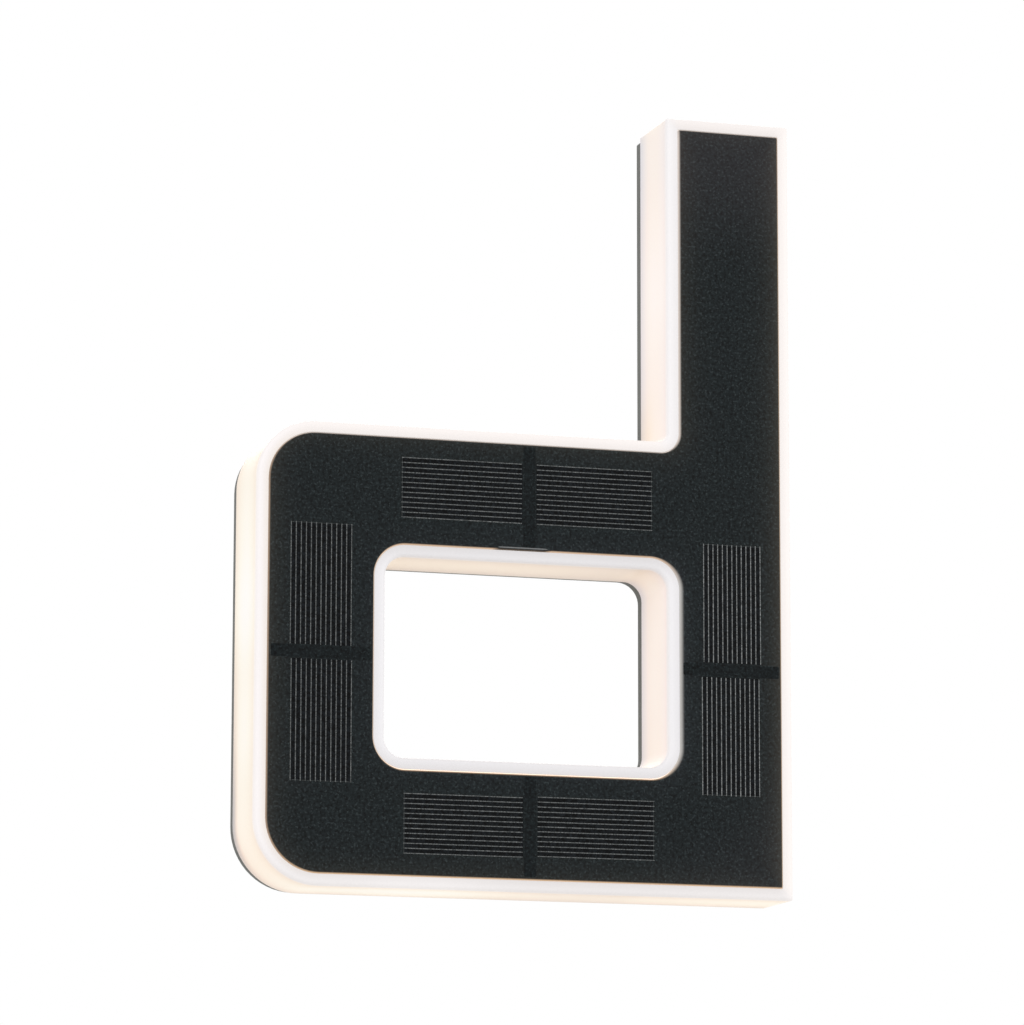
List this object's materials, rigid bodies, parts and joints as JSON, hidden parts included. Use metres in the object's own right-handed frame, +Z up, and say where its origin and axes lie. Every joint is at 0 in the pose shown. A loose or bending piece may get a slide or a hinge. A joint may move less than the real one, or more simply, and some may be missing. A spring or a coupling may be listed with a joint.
{
  "type": "illuminated house number sign",
  "caption": "Wall sign in the shape of a letter d: opal body lit from inside, solar cells on its face, rear cover with keyhole slots, battery door and slide switch.",
  "frame": {"origin": "on the wall plane, midway between the two hanging holes in the rear cover", "axes": "+Z up the letter's stem, +X to the letter's right seen from the front, the face looks along -Y and the wall lies in the plane Y = 0"},
  "size_m": [0.14, 0.0265, 0.2],
  "materials": {
    "opal_acrylic": "satin opal acrylic, lit from inside by warm white lamps",
    "grey_abs": "fine matt moulded dark grey",
    "black_epdm": "matt cut gasket",
    "stainless_steel": "satin",
    "dark_laminate": "resin face with fine speckle, satin",
    "clear_silicone": "cured silicone adhesive",
    "silicon_cell": "dark silicon under a clear resin coat, grey collector lines",
    "joint_strip": "smooth dark strip under the coat",
    "white_board": "white solder mask",
    "warm_lamp": "silicone over phosphor, lit",
    "green_board": "green solder mask",
    "black_component": "moulded black",
    "battery_sleeve": "shrink sleeve over the can, satin",
    "nickel_spring": "nickel plated",
    "black_nylon": "matt moulded",
    "lead_insulation": "satin insulation"
  },
  "bodies": {
    "sign": {"opal_body": "opal_acrylic", "rear_cover": "grey_abs", "cover_seal": "black_epdm", "cover_screws": "stainless_steel", "solar_board": "dark_laminate", "panel_adhesive": "clear_silicone", "cell_top_left": "silicon_cell", "cell_top_right": "silicon_cell", "cell_right_upper": "silicon_cell", "cell_right_lower": "silicon_cell", "cell_foot_right": "silicon_cell", "cell_foot_left": "silicon_cell", "cell_left_lower": "silicon_cell", "cell_left_upper": "silicon_cell", "strip_top": "joint_strip", "strip_right": "joint_strip", "strip_foot": "joint_strip", "strip_left": "joint_strip", "lamp_board_left": "white_board", "lamp_board_foot": "white_board", "lamp_board_top": "white_board", "lamp_board_stem": "white_board", "lamps_left": "warm_lamp", "lamps_foot": "warm_lamp", "lamps_top": "warm_lamp", "lamps_stem": "warm_lamp", "lamps_right": "warm_lamp", "control_board": "green_board", "control_parts": "black_component", "board_screws": "stainless_steel", "battery": "battery_sleeve", "battery_spring": "nickel_spring", "battery_contact": "nickel_spring", "switch_body": "black_component", "panel_leads": "lead_insulation", "battery_leads": "lead_insulation", "lamp_leads": "lead_insulation"},
    "battery_door": {"battery_door": "grey_abs", "door_seal": "black_epdm", "door_screws": "stainless_steel"},
    "switch_knob": {"switch_knob": "black_nylon"}
  },
  "joints": [
    {"name": "battery_door_lift", "type": "slide", "parent": "sign", "child": "battery_door", "axis": [0, 1, 0], "range_m": [0, 0.03]},
    {"name": "switch_slide", "type": "slide", "parent": "sign", "child": "switch_knob", "axis": [1, 0, 0], "range_m": [0, 0.0025]}
  ]
}
